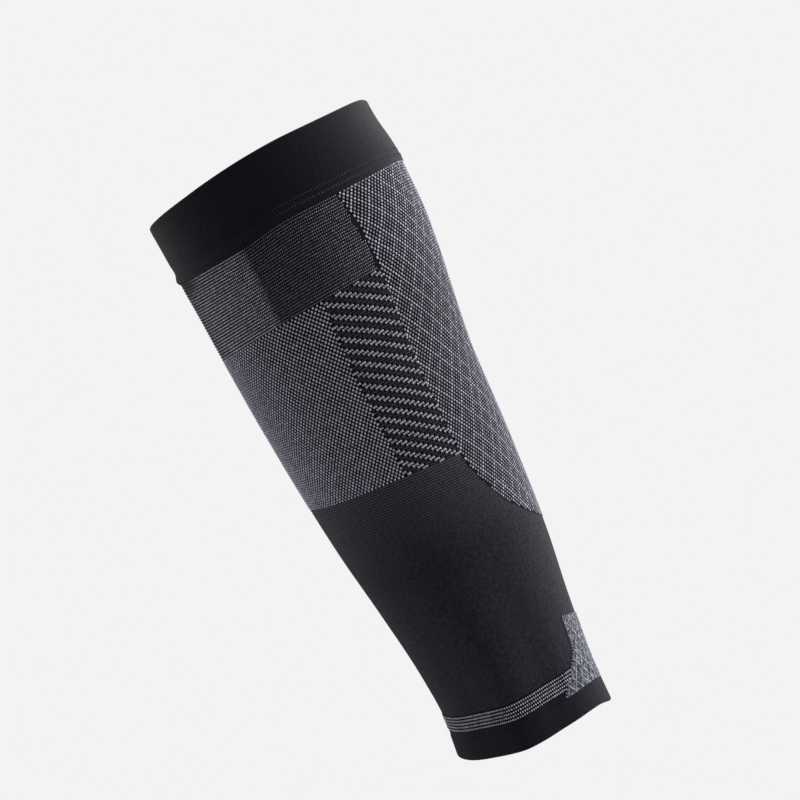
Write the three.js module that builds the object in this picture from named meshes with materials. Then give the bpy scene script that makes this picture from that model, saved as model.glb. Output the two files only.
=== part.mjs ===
import * as THREE from 'three';

// A knitted calf compression sleeve, in millimetres, in the form that it takes on a leg.
// Z is the leg's axis with the knee end up, the shin faces -Y and the calf faces +Y.
// The origin lies on that axis, level with the middle of the calf.
// An angle is measured round the axis in degrees, from the shin at 0 through +X at 90 to the back at 180.

// Driving dimensions: the sleeve's length, above and below the calf line
const TOP_RISE = 122; // calf line up to the top rim, at the shin
const HEM_DROP = 182; // calf line down to the bottom rim, at the shin
const TOP_BACK_LIFT = 9; // the top rim stands higher behind the knee
const HEM_BACK_DIP = 7.5; // the bottom rim hangs lower over the heel
const CUFF_WAVE = 3; // depth of the wave in the top cuff's edges over the shin

// Driving dimensions: the leg's form, from the axis to the outside of the knit
const KNEE_SHIN_REACH = 62;
const KNEE_CALF_REACH = 64.9;
const KNEE_HALF_WIDTH = 57;
const ANKLE_SHIN_REACH = 39;
const ANKLE_CALF_REACH = 41;
const ANKLE_HALF_WIDTH = 39.5;

// Driving dimensions: the fabric
const KNIT_WALL = 1.2; // one layer of the panels' knit
const TOP_CUFF_WALL = 2.4; // turned double
const BOTTOM_CUFF_WALL = 2.2;
const TOP_CUFF_PROUD = 0.8; // how far a cuff stands out from the panels
const BOTTOM_CUFF_PROUD = 0.3;
const RIM_ROUND = 1.1; // rounding of the two free rims
const SEAM_GAP = 0.3; // clearance between neighbouring pieces

// Driving dimensions: the zones
const TOP_CUFF_HEIGHT = 34.5;
const BOTTOM_CUFF_HEIGHT = 11.5;
const BOTTOM_CUFF_BACK = 13.5; // its height over the heel
const UPPER_SEAM_LEVEL = 46.3; // lower edge of the fine ribs, at the shin
const UPPER_SEAM_LIFT = 3.4; // its rise towards the calf panel
const LOWER_SEAM_LEVEL = -40.6; // lower edge of the shin panel, at the shin
const LOWER_SEAM_DIP = 3; // its fall towards the calf panel
const SHIN_PANEL_ANGLE = 87; // half angle of the bird's-eye panel on the shin
const CALF_PANEL_ANGLE = 117.5; // where the calf panel meets the side panels
const CALF_PANEL_DROP = 93; // calf line down to the tip of the calf panel, at the back
const ANKLE_BAND_HEIGHT = 11.5;
const ACHILLES_PATCH_HEIGHT = 33.5;
const ACHILLES_PATCH_NOTCH = 7; // dip of its top edge at the back
const ACHILLES_PATCH_ANGLE = 120.5; // angle of the patch's lowest corners
const ACHILLES_NECK_ANGLE = 143.3; // angle of the patch's sides further up

// Mesh density: columns round each stretch of knit, and the tallest row
const RIM_COLUMNS = 48;
const RIBBED_COLUMNS = 32;
const SHIN_COLUMNS = 24;
const SIDE_COLUMNS = 4;
const BAND_COLUMNS = 34;
const PATCH_COLUMNS = 16;
const LOWER_SHIN_COLUMNS = 17; // under half of the shin and one side panel
const ROW_HEIGHT = 16;

// The leg's form. height is 1 at the top rim, 0 at the calf line and -1 at the bottom rim.
// shin, calf and side run from 0, the ankle's size, to 1, the size below the knee.
// bony runs from 0, an oval section, to 1, the section with the ankle bones.
const LEG_FORM = [
  { height: 1.1, shin: 1.055, calf: 0.83, side: 0.99, bony: 0 },
  { height: 1, shin: 1.043, calf: 0.852, side: 1, bony: 0 },
  { height: 0.852, shin: 0.997, calf: 0.96, side: 1.01, bony: 0 },
  { height: 0.705, shin: 0.974, calf: 0.975, side: 1, bony: 0 },
  { height: 0.582, shin: 0.937, calf: 0.963, side: 0.971, bony: 0 },
  { height: 0.418, shin: 0.898, calf: 0.88, side: 0.914, bony: 0 },
  { height: 0.254, shin: 0.853, calf: 0.762, side: 0.829, bony: 0 },
  { height: 0.008, shin: 0.765, calf: 0.594, side: 0.714, bony: 0 },
  { height: -0.214, shin: 0.617, calf: 0.51, side: 0.571, bony: 0.02 },
  { height: -0.379, shin: 0.472, calf: 0.427, side: 0.451, bony: 0.18 },
  { height: -0.544, shin: 0.274, calf: 0.318, side: 0.303, bony: 0.45 },
  { height: -0.709, shin: 0.093, calf: 0.143, side: 0.131, bony: 0.75 },
  { height: -0.819, shin: 0.017, calf: 0.044, side: 0.034, bony: 0.95 },
  { height: -0.874, shin: 0, calf: -0.002, side: 0, bony: 1 },
  { height: -0.929, shin: 0.028, calf: -0.033, side: 0.01, bony: 0.95 },
  { height: -1, shin: 0.09, calf: -0.043, side: 0.04, bony: 0.8 },
  { height: -1.05, shin: 0.12, calf: -0.05, side: 0.05, bony: 0.75 },
];

// The section at the ankle bones, as a share of the oval's radius: flat beside the shin, full
// over the bone and hollow between the bone and the Achilles tendon. The first and last rows
// repeat their mirrored neighbours, so the curve is level at the shin and the back.
const BONY_SECTION = [
  { angle: -25, fullness: 0.955 },
  { angle: 0, fullness: 1 },
  { angle: 25, fullness: 0.955 },
  { angle: 50, fullness: 0.915 },
  { angle: 66, fullness: 0.955 },
  { angle: 79, fullness: 1.01 },
  { angle: 91, fullness: 0.975 },
  { angle: 108, fullness: 0.92 },
  { angle: 129, fullness: 0.96 },
  { angle: 150, fullness: 0.99 },
  { angle: 180, fullness: 1 },
  { angle: 210, fullness: 0.99 },
];

// Both long seams over the shin. turn is the share of the calf panel's angle, rise the share of
// the seam's lift or dip at that place.
const UPPER_SEAM = [
  { turn: 0, rise: 0 },
  { turn: 0.36, rise: -0.3 },
  { turn: 0.77, rise: 0.25 },
  { turn: 1, rise: 1 },
];
const LOWER_SEAM = [
  { turn: 0, rise: -0.9 },
  { turn: 0.2, rise: -0.5 },
  { turn: 0.36, rise: -0.2 },
  { turn: 0.77, rise: 0.4 },
  { turn: 1, rise: 1 },
];

// The wave in the top cuff's edges, as a share of its depth, from the shin to the back. The first
// row repeats its mirrored neighbour, so the edges are level at the shin.
const CUFF_EDGES = [
  { angle: -30, rim: -0.9, edge: -0.43 },
  { angle: 0, rim: -0.33, edge: 0.73 },
  { angle: 30, rim: -0.9, edge: -0.43 },
  { angle: 50, rim: -1.03, edge: -0.9 },
  { angle: 67, rim: -0.77, edge: -0.93 },
  { angle: 87, rim: -0.3, edge: -0.13 },
  { angle: 105, rim: 0, edge: 0 },
  { angle: 180, rim: 0, edge: 0 },
];

// The calf panel's upright edge, straight between these points. side runs from 0 at the lower
// seam to 1 at the upper seam, ribs from there to 1 at the cuff, and turn is the share of the
// calf panel's angle.
const CALF_EDGE = [
  { side: 0, ribs: 0, turn: 1 },
  { side: 1, ribs: 0, turn: 0.994 },
  { side: 1, ribs: 0.5, turn: 0.997 },
  { side: 1, ribs: 1, turn: 0.975 },
];

// The rounded tip of the calf panel. back runs from 0 at its corner to 1 at the middle of the
// back, and down from 0 at the lower seam to 1 at the tip.
const CALF_TIP = [
  { back: 0, down: 0 },
  { back: 0.035, down: 0.17 },
  { back: 0.1, down: 0.332 },
  { back: 0.168, down: 0.474 },
  { back: 0.277, down: 0.636 },
  { back: 0.408, down: 0.757 },
  { back: 0.5, down: 0.822 },
  { back: 0.6, down: 0.879 },
  { back: 0.7, down: 0.925 },
  { back: 0.8, down: 0.96 },
  { back: 0.9, down: 0.985 },
  { back: 1, down: 1 },
];

// The Achilles patch's side edge. up is the share of the patch's height, and in runs from 0 at
// its lowest corner to 1 at its neck.
const PATCH_EDGE = [
  { up: 0, in: 0 },
  { up: 0.087, in: 0.11 },
  { up: 0.224, in: 0.417 },
  { up: 0.355, in: 0.68 },
  { up: 0.522, in: 0.943 },
  { up: 0.615, in: 0.985 },
  { up: 1, in: 1 },
];

const HALF_TURN = 180;
const FULL_TURN = 360;
const toRadians = THREE.MathUtils.degToRad;
const lerp = THREE.MathUtils.lerp;

// The value of a table's column at a place given in another column, on a smooth curve
// through the rows, with the rows sorted by that other column.
function readTable(table, byColumn, place, column) {
  const upwards = table[0][byColumn] < table[table.length - 1][byColumn];
  const rows = upwards ? table : [...table].reverse();
  const last = rows.length - 1;
  const at = THREE.MathUtils.clamp(place, rows[0][byColumn], rows[last][byColumn]);
  const next = Math.max(1, rows.findIndex((row) => row[byColumn] >= at));
  const slope = (i) => {
    const below = rows[Math.max(i - 1, 0)];
    const above = rows[Math.min(i + 1, last)];
    return (above[column] - below[column]) / (above[byColumn] - below[byColumn]);
  };
  const from = rows[next - 1];
  const to = rows[next];
  const span = to[byColumn] - from[byColumn];
  const t = (at - from[byColumn]) / span;
  const bend = t * (1 - t) * span;
  const straight = lerp(from[column], to[column], t);
  const chord = (to[column] - from[column]) / span;
  return straight + bend * ((1 - t) * (slope(next - 1) - chord) - t * (slope(next) - chord));
}

// The leg's section at a level: its reach to the shin and calf, its half width and its bones.
function legSection(level) {
  const height = level / (level > 0 ? TOP_RISE : HEM_DROP);
  const share = (column) => readTable(LEG_FORM, 'height', height, column);
  return {
    shin: lerp(ANKLE_SHIN_REACH, KNEE_SHIN_REACH, share('shin')),
    calf: lerp(ANKLE_CALF_REACH, KNEE_CALF_REACH, share('calf')),
    side: lerp(ANKLE_HALF_WIDTH, KNEE_HALF_WIDTH, share('side')),
    bony: share('bony'),
  };
}

// A point of the leg's surface, moved inwards, square to the section, by a depth.
function legPoint(angle, level, depth) {
  const section = legSection(level);
  const turn = toRadians(angle);
  const halfDepth = (section.shin + section.calf) / 2;
  const middle = (section.calf - section.shin) / 2;
  const fromShin = Math.abs(THREE.MathUtils.euclideanModulo(angle + HALF_TURN, FULL_TURN) - HALF_TURN);
  const bones = readTable(BONY_SECTION, 'angle', fromShin, 'fullness');
  const fullness = lerp(1, bones, section.bony);
  const point = new THREE.Vector3(section.side * Math.sin(turn), -halfDepth * Math.cos(turn), 0);
  const outward = new THREE.Vector3(point.x / section.side ** 2, point.y / halfDepth ** 2, 0);
  point.multiplyScalar(fullness).addScaledVector(outward.normalize(), -depth);
  return point.add(new THREE.Vector3(0, middle, level));
}

// Millimetres along the knit for one degree of turn, at a level.
function degreeLength(level) {
  const section = legSection(level);
  const meanRadius = (section.shin + section.calf + 2 * section.side) / 4;
  return toRadians(meanRadius);
}

// Evenly spaced values from one to another, both ends included.
function spread(from, to, steps) {
  return Array.from({ length: steps + 1 }, (_, i) => lerp(from, to, i / steps));
}

// Seams are lists of { angle, level } points, and all seams of one piece have equally many.
// This one is level.
function ringLine(level, fromAngle, toAngle, steps) {
  return spread(fromAngle, toAngle, steps).map((angle) => ({ angle, level }));
}

function raise(seam, rise) {
  return seam.map(({ angle, level }) => ({ angle, level: level + rise }));
}

// A seam with a lift that grows towards the middle of the back, faster the sharper it is.
function liftBack(seam, lift, sharpness) {
  return seam.map(({ angle, level }) => {
    const towardsBack = ((1 - Math.cos(toRadians(angle))) / 2) ** sharpness;
    return { angle, level: level + lift * towardsBack };
  });
}

const TOP_RIM_SHARPNESS = 6;
const BOTTOM_RIM_SHARPNESS = 18;
const RIM_CROWN = 0.7; // how far a rounded rim draws in, as a share of its rounding

// An edge of the top cuff between two angles, from its level at the side.
function cuffEdge(sideLevel, column, fromAngle, toAngle, steps) {
  const lifted = liftBack(
    ringLine(sideLevel, fromAngle, toAngle, steps),
    TOP_BACK_LIFT,
    TOP_RIM_SHARPNESS,
  );
  return lifted.map(({ angle, level }) => {
    const fromShin = HALF_TURN - Math.abs(HALF_TURN - Math.abs(angle));
    return { angle, level: level + CUFF_WAVE * readTable(CUFF_EDGES, 'angle', fromShin, column) };
  });
}

// The top rim and, below it, the top cuff's lower edge between two angles.
function topRim(fromAngle, toAngle, steps) {
  return cuffEdge(TOP_RISE, 'rim', fromAngle, toAngle, steps);
}

function cuffLine(fromAngle, toAngle, steps) {
  return cuffEdge(TOP_RISE - TOP_CUFF_HEIGHT, 'edge', fromAngle, toAngle, steps);
}

// The bottom rim and, above it, the bottom cuff's upper edge between two angles.
function bottomRim(fromAngle, toAngle, steps) {
  const level = ringLine(-HEM_DROP, fromAngle, toAngle, steps);
  return liftBack(level, -HEM_BACK_DIP, BOTTOM_RIM_SHARPNESS);
}

const hemLevel = -HEM_DROP + BOTTOM_CUFF_HEIGHT;
const hemBackDip = HEM_BACK_DIP - (BOTTOM_CUFF_BACK - BOTTOM_CUFF_HEIGHT);

function hemLine(fromAngle, toAngle, steps) {
  const level = ringLine(hemLevel, fromAngle, toAngle, steps);
  return liftBack(level, -hemBackDip, BOTTOM_RIM_SHARPNESS);
}

// A seam over the shin, read from its table.
function shinSeam(table, shinLevel, rise, fromAngle, toAngle, steps) {
  return spread(fromAngle, toAngle, steps).map((angle) => {
    const turn = Math.abs(angle) / CALF_PANEL_ANGLE;
    return { angle, level: shinLevel + rise * readTable(table, 'turn', turn, 'rise') };
  });
}

function upperSeam(fromAngle, toAngle, steps) {
  return shinSeam(UPPER_SEAM, UPPER_SEAM_LEVEL, UPPER_SEAM_LIFT, fromAngle, toAngle, steps);
}

function lowerSeam(fromAngle, toAngle, steps) {
  return shinSeam(LOWER_SEAM, LOWER_SEAM_LEVEL, -LOWER_SEAM_DIP, fromAngle, toAngle, steps);
}

const cornerLevel = LOWER_SEAM_LEVEL - LOWER_SEAM_DIP;

// The calf panel's upright edge, from its lower corner to the cuff.
const calfEdge = CALF_EDGE.map(({ side, ribs, turn }) => {
  const angle = CALF_PANEL_ANGLE * turn;
  const seamLevel = lerp(cornerLevel, UPPER_SEAM_LEVEL + UPPER_SEAM_LIFT, side);
  const cuffLevel = cuffLine(angle, angle, 1)[0].level;
  return { angle, level: lerp(seamLevel, cuffLevel, ribs) };
});
const [calfCorner, calfAtSeam, calfAtRibs, calfAtCuff] = calfEdge;

// The same half seam on both sides of the back, from the low angle to the high one.
function mirrorAtBack(half) {
  const other = half.map(({ angle, level }) => ({ angle: FULL_TURN - angle, level }));
  return [...half.slice(0, -1), ...other.reverse()];
}

// The same half seam on both sides of the shin.
function mirrorAtShin(half) {
  const other = half.map(({ angle, level }) => ({ angle: -angle, level }));
  return [...other.reverse(), ...half.slice(1)];
}

const calfTipHalf = CALF_TIP.map(({ back, down }) => ({
  angle: lerp(CALF_PANEL_ANGLE, HALF_TURN, back),
  level: lerp(cornerLevel, -CALF_PANEL_DROP, down),
}));

const patchEdgeHalf = PATCH_EDGE.map(({ up, in: inwards }) => ({
  angle: lerp(ACHILLES_PATCH_ANGLE, ACHILLES_NECK_ANGLE, inwards),
  level: hemLevel + up * ACHILLES_PATCH_HEIGHT,
}));
const patchTopLevel = hemLevel + ACHILLES_PATCH_HEIGHT - ACHILLES_PATCH_NOTCH; // at the back
const bandTopLevel = hemLevel + ANKLE_BAND_HEIGHT;

// The angle of the patch's side edge at a level, on straight lines through its points.
function patchEdgeAngle(level) {
  const next = Math.max(1, patchEdgeHalf.findIndex((point) => point.level >= level));
  const from = patchEdgeHalf[next - 1];
  const to = patchEdgeHalf[next];
  return lerp(from.angle, to.angle, (level - from.level) / (to.level - from.level));
}

// A seam moved sideways by a distance, to the left when followed towards larger angles,
// which is upwards on a level seam.
function shiftSeam(seam, distance) {
  return seam.map((point, i) => {
    const before = seam[Math.max(i - 1, 0)];
    const after = seam[Math.min(i + 1, seam.length - 1)];
    const perDegree = degreeLength(point.level);
    const across = (after.angle - before.angle) * perDegree;
    const along = new THREE.Vector2(across, after.level - before.level).normalize();
    return {
      angle: point.angle - (along.y * distance) / perDegree,
      level: point.level + along.x * distance,
    };
  });
}

// A piece of knit between two or more seams, from the lowest to the highest, as one closed
// solid: an outer skin, an inner skin a wall deeper, and the edges between them. A ring's
// seams go all the way round. proud lifts the piece off the leg's surface, and roundRow
// names the seam, counted from the lowest, whose edge is a rounded free rim.
function knitPiece(name, colour, seams, options = {}) {
  const { wall = KNIT_WALL, proud = 0, ring = false, roundRow = -1 } = options;
  const columns = ring ? seams[0].length - 1 : seams[0].length;
  const rails = seams.map((seam) => seam.slice(0, columns));
  const rows = [];
  rails.forEach((rail, i) => {
    const crown = i === roundRow ? Math.min(RIM_ROUND, wall / 2) * RIM_CROWN : 0;
    rows.push({ rail, crown });
    if (i === rails.length - 1) return;
    const above = rails[i + 1];
    const tallest = Math.max(...rail.map((point, c) => above[c].level - point.level));
    const steps = Math.ceil(tallest / ROW_HEIGHT);
    for (let s = 1; s < steps; s += 1) {
      const between = rail.map((point, c) => ({
        angle: lerp(point.angle, above[c].angle, s / steps),
        level: lerp(point.level, above[c].level, s / steps),
      }));
      rows.push({ rail: between, crown: 0 });
    }
  });

  const positions = [];
  for (const depth of [-proud, wall - proud]) {
    const inwards = depth === -proud ? 1 : -1;
    for (const { rail, crown } of rows) {
      for (const { angle, level } of rail) {
        positions.push(...legPoint(angle, level, depth + inwards * crown).toArray());
      }
    }
  }

  const skin = rows.length * columns;
  const outer = (row, column) => row * columns + (column % columns);
  const inner = (row, column) => skin + outer(row, column);
  const faces = [];
  const quad = (a, b, c, d) => faces.push(a, b, c, a, c, d);
  const lastRow = rows.length - 1;
  const spans = ring ? columns : columns - 1;
  for (let c = 0; c < spans; c += 1) {
    for (let r = 0; r < lastRow; r += 1) {
      quad(outer(r, c), outer(r, c + 1), outer(r + 1, c + 1), outer(r + 1, c));
      quad(inner(r, c + 1), inner(r, c), inner(r + 1, c), inner(r + 1, c + 1));
    }
    quad(outer(lastRow, c), outer(lastRow, c + 1), inner(lastRow, c + 1), inner(lastRow, c));
    quad(inner(0, c), inner(0, c + 1), outer(0, c + 1), outer(0, c));
  }
  if (!ring) {
    for (let r = 0; r < lastRow; r += 1) {
      quad(inner(r, 0), outer(r, 0), outer(r + 1, 0), inner(r + 1, 0));
      quad(outer(r, spans), inner(r, spans), inner(r + 1, spans), outer(r + 1, spans));
    }
  }

  const geometry = new THREE.BufferGeometry();
  geometry.setAttribute('position', new THREE.Float32BufferAttribute(positions, 3));
  geometry.setIndex(faces);
  geometry.computeVertexNormals();
  const material = new THREE.MeshStandardMaterial({ color: colour, roughness: 0.9, metalness: 0 });
  material.name = name;
  const mesh = new THREE.Mesh(geometry, material);
  mesh.name = name;
  return mesh;
}

const BELOW = -SEAM_GAP / 2;
const ABOVE = SEAM_GAP / 2;
const halfGapAngle = (level) => SEAM_GAP / 2 / degreeLength(level);

// The angle of a point of the calf panel's edge with half the gap left on the shin side.
const besideCalf = ({ angle, level }) => angle - halfGapAngle(level);

// A seam partway between two seams.
function blendSeams(lower, upper, share) {
  return lower.map((point, i) => ({
    angle: lerp(point.angle, upper[i].angle, share),
    level: lerp(point.level, upper[i].level, share),
  }));
}

// The turned double cuff below the knee. It covers the panels' upper edge.
function topCuff() {
  const lowerEdge = cuffLine(-HALF_TURN, HALF_TURN, RIM_COLUMNS);
  const rim = topRim(-HALF_TURN, HALF_TURN, RIM_COLUMNS);
  const seams = [shiftSeam(lowerEdge, ABOVE), raise(rim, -RIM_ROUND), rim];
  return knitPiece('top_cuff', '#1d1b20', seams, {
    wall: TOP_CUFF_WALL,
    proud: TOP_CUFF_PROUD,
    ring: true,
    roundRow: 2,
  });
}

// Fine horizontal ribs over the shin and both sides, from the cuff to the upper seam.
function upperShinPanel() {
  const [atSeam, atRibs, atCuff] = [calfAtSeam, calfAtRibs, calfAtCuff].map(besideCalf);
  const bottom = upperSeam(-atSeam, atSeam, RIBBED_COLUMNS);
  const top = cuffLine(-atCuff, atCuff, RIBBED_COLUMNS);
  const middle = blendSeams(bottom, top, CALF_EDGE[2].ribs).map(({ angle, level }) => ({
    angle: (angle * atRibs * 2) / (atSeam + atCuff),
    level,
  }));
  const seams = [shiftSeam(bottom, ABOVE), middle, shiftSeam(top, BELOW)];
  return knitPiece('upper_shin_panel', '#3c3b42', seams);
}

// Bird's-eye knit over the shin, between the two long seams.
function shinPanel() {
  const low = SHIN_PANEL_ANGLE - halfGapAngle(LOWER_SEAM_LEVEL);
  const high = SHIN_PANEL_ANGLE - halfGapAngle(UPPER_SEAM_LEVEL);
  const bottom = lowerSeam(-low, low, SHIN_COLUMNS);
  const top = upperSeam(-high, high, SHIN_COLUMNS);
  return knitPiece('shin_panel', '#6b6b74', [shiftSeam(bottom, ABOVE), shiftSeam(top, BELOW)]);
}

// Diagonal stripes between the shin panel and the calf panel: side is 1 on the +X side.
function sidePanel(name, side) {
  const low = [SHIN_PANEL_ANGLE + halfGapAngle(LOWER_SEAM_LEVEL), besideCalf(calfCorner)];
  const high = [SHIN_PANEL_ANGLE + halfGapAngle(UPPER_SEAM_LEVEL), besideCalf(calfAtSeam)];
  const span = ([near, far]) => (side > 0 ? [near, far] : [-far, -near]);
  const bottom = lowerSeam(...span(low), SIDE_COLUMNS);
  const top = upperSeam(...span(high), SIDE_COLUMNS);
  return knitPiece(name, '#4c4c57', [shiftSeam(bottom, ABOVE), shiftSeam(top, BELOW)]);
}

// Bird's-eye knit with a lattice over the calf, down to its rounded tip.
function calfPanel() {
  const tip = mirrorAtBack(calfTipHalf);
  const topEdge = calfAtCuff.angle + halfGapAngle(calfAtCuff.level);
  const top = cuffLine(topEdge, FULL_TURN - topEdge, tip.length - 1);
  const between = [calfAtSeam, calfAtRibs].map(({ angle, level }) => {
    const up = (level - calfCorner.level) / (calfAtCuff.level - calfCorner.level);
    const edge = angle + halfGapAngle(level);
    const angles = spread(edge, FULL_TURN - edge, tip.length - 1);
    return blendSeams(tip, top, up).map((point, i) => ({ angle: angles[i], level: point.level }));
  });
  const seams = [shiftSeam(tip, ABOVE), ...between, shiftSeam(top, BELOW)];
  return knitPiece('calf_panel', '#75767f', seams);
}

// Plain knit all round the lower leg, under the shin, side and calf panels and over the patch.
function lowerLegPanel() {
  const overShin = lowerSeam(0, CALF_PANEL_ANGLE, LOWER_SHIN_COLUMNS);
  const top = mirrorAtShin([...overShin.slice(0, -1), ...calfTipHalf]);
  const besidePatch = patchEdgeHalf.filter((point) => point.level > bandTopLevel);
  const corner = besidePatch[besidePatch.length - 1];
  const overPatch = spread(corner.angle, HALF_TURN, PATCH_COLUMNS / 2).map((angle) => {
    const towardsBack = (angle - corner.angle) / (HALF_TURN - corner.angle);
    return { angle, level: lerp(corner.level, patchTopLevel, towardsBack) };
  });
  const bandColumns = (top.length - 1) / 2 - besidePatch.length - PATCH_COLUMNS / 2;
  const overBand = ringLine(bandTopLevel, 0, patchEdgeAngle(bandTopLevel), bandColumns);
  const bottom = mirrorAtShin([...overBand, ...besidePatch, ...overPatch.slice(1)]);
  const seams = [shiftSeam(bottom, ABOVE), shiftSeam(top, BELOW)];
  return knitPiece('lower_leg_panel', '#2b2a31', seams, { ring: true });
}

// Plain knit with pale lines above the bottom cuff, open at the back where the patch is.
function ankleBand() {
  const inBand = patchEdgeHalf.filter(({ level }) => level > hemLevel && level < bandTopLevel);
  const bandTop = { angle: patchEdgeAngle(bandTopLevel), level: bandTopLevel };
  const edges = [patchEdgeHalf[0], ...inBand, bandTop];
  const seams = edges.map(({ angle, level }, i) => {
    const edge = angle - 2 * halfGapAngle(level);
    const gap = (i === 0 ? ABOVE : 0) + (i === edges.length - 1 ? BELOW : 0);
    return ringLine(level + gap, -edge, edge, BAND_COLUMNS);
  });
  return knitPiece('ankle_band', '#55555f', seams);
}

// The grey patch over the Achilles tendon.
function achillesPatch() {
  const lastSeam = patchEdgeHalf.length - 1;
  const seams = patchEdgeHalf.map(({ angle, level }, i) => {
    const edge = angle + 2 * halfGapAngle(level);
    if (i === 0) return raise(hemLine(edge, FULL_TURN - edge, PATCH_COLUMNS), ABOVE);
    const gap = i === lastSeam ? BELOW : 0;
    const peak = i === lastSeam ? patchTopLevel - level : 0;
    return ringLine(level + gap, edge, FULL_TURN - edge, PATCH_COLUMNS).map((point) => {
      const towardsBack = 1 - Math.abs(point.angle - HALF_TURN) / (HALF_TURN - edge);
      return { angle: point.angle, level: point.level + peak * towardsBack };
    });
  });
  return knitPiece('achilles_patch', '#8d8f9c', seams);
}

// The turned double cuff above the ankle, taller over the heel.
function bottomCuff() {
  const rim = bottomRim(-HALF_TURN, HALF_TURN, RIM_COLUMNS);
  const upperEdge = hemLine(-HALF_TURN, HALF_TURN, RIM_COLUMNS);
  const seams = [rim, raise(rim, RIM_ROUND), shiftSeam(upperEdge, BELOW)];
  return knitPiece('bottom_cuff', '#1f1e23', seams, {
    wall: BOTTOM_CUFF_WALL,
    proud: BOTTOM_CUFF_PROUD,
    ring: true,
    roundRow: 0,
  });
}

const sleeve = new THREE.Group();
sleeve.name = 'calf_compression_sleeve';
sleeve.add(
  topCuff(),
  upperShinPanel(),
  shinPanel(),
  sidePanel('side_panel_outer', 1),
  sidePanel('side_panel_inner', -1),
  calfPanel(),
  lowerLegPanel(),
  ankleBand(),
  achillesPatch(),
  bottomCuff(),
);

export default sleeve;
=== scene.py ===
import math
import bpy
import numpy as np
from mathutils import Matrix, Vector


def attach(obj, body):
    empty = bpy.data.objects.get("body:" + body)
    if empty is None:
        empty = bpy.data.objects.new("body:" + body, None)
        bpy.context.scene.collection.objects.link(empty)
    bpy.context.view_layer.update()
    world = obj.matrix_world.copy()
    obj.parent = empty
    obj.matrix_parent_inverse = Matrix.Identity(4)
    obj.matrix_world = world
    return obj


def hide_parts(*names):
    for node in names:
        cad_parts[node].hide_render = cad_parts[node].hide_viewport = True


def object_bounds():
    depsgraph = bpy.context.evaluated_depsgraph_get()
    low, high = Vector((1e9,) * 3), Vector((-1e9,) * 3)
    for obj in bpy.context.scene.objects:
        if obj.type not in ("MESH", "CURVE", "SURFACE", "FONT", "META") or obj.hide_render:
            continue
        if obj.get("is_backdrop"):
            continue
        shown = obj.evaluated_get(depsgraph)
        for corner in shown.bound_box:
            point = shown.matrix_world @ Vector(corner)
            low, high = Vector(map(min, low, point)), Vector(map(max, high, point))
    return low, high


# A knitted calf compression sleeve, shown in the form that it takes on a leg. Lengths are in metres.
# Z is the leg's axis with the knee end up, the shin faces -Y and the calf faces +Y. An angle is
# measured round the axis in degrees, from the shin at 0 through +X at 90 to the back at 180.
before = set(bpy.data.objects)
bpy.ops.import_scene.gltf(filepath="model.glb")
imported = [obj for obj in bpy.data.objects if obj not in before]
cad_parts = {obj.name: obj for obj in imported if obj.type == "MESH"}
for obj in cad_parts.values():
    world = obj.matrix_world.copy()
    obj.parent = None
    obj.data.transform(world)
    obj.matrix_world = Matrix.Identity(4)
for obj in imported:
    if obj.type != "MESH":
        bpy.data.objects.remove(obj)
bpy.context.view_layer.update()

# Top cuff: black double knit, turned at the rim. A pucker runs along its lower edge, with two rows of
# picots round the back. The leg's form, on which every piece lies, is read from tables.
TOP_RISE = 0.122
HEM_DROP = 0.182
TOP_BACK_LIFT = 0.009
TOP_CUFF_HEIGHT = 0.0345
TOP_CUFF_PROUD = 0.0008
TOP_CUFF_WALL = 0.0024
CUFF_WAVE = 0.003

# Reach from the axis at the ankle and below the knee: shin, calf and side
ANKLE_REACH = (0.039, 0.041, 0.0395)
KNEE_REACH = (0.062, 0.0649, 0.057)

# Columns: height (1 at the top rim, 0 at the calf line, -1 at the bottom rim), then the shares of
# the way from the ankle's reach to the knee's for shin, calf and side, then how bony the section is
LEG_FORM = np.array([
    (-1.05, 0.12, -0.05, 0.05, 0.75),
    (-1, 0.09, -0.043, 0.04, 0.8),
    (-0.929, 0.028, -0.033, 0.01, 0.95),
    (-0.874, 0, -0.002, 0, 1),
    (-0.819, 0.017, 0.044, 0.034, 0.95),
    (-0.709, 0.093, 0.143, 0.131, 0.75),
    (-0.544, 0.274, 0.318, 0.303, 0.45),
    (-0.379, 0.472, 0.427, 0.451, 0.18),
    (-0.214, 0.617, 0.51, 0.571, 0.02),
    (0.008, 0.765, 0.594, 0.714, 0),
    (0.254, 0.853, 0.762, 0.829, 0),
    (0.418, 0.898, 0.88, 0.914, 0),
    (0.582, 0.937, 0.963, 0.971, 0),
    (0.705, 0.974, 0.975, 1, 0),
    (0.852, 0.997, 0.96, 1.01, 0),
    (1, 1.043, 0.852, 1, 0),
    (1.1, 1.055, 0.83, 0.99, 0),
])

# Columns: angle from the shin, and the bony section's radius as a share of the oval's
BONY_SECTION = np.array([
    (-25, 0.955),
    (0, 1),
    (25, 0.955),
    (50, 0.915),
    (66, 0.955),
    (79, 1.01),
    (91, 0.975),
    (108, 0.92),
    (129, 0.96),
    (150, 0.99),
    (180, 1),
    (210, 0.99),
])

# Columns: angle from the shin, and the wave in the cuff's rim and in its lower edge
CUFF_EDGES = np.array([
    (-30, -0.9, -0.43),
    (0, -0.33, 0.73),
    (30, -0.9, -0.43),
    (50, -1.03, -0.9),
    (67, -0.77, -0.93),
    (87, -0.3, -0.13),
    (105, 0, 0),
    (180, 0, 0),
])


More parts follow.
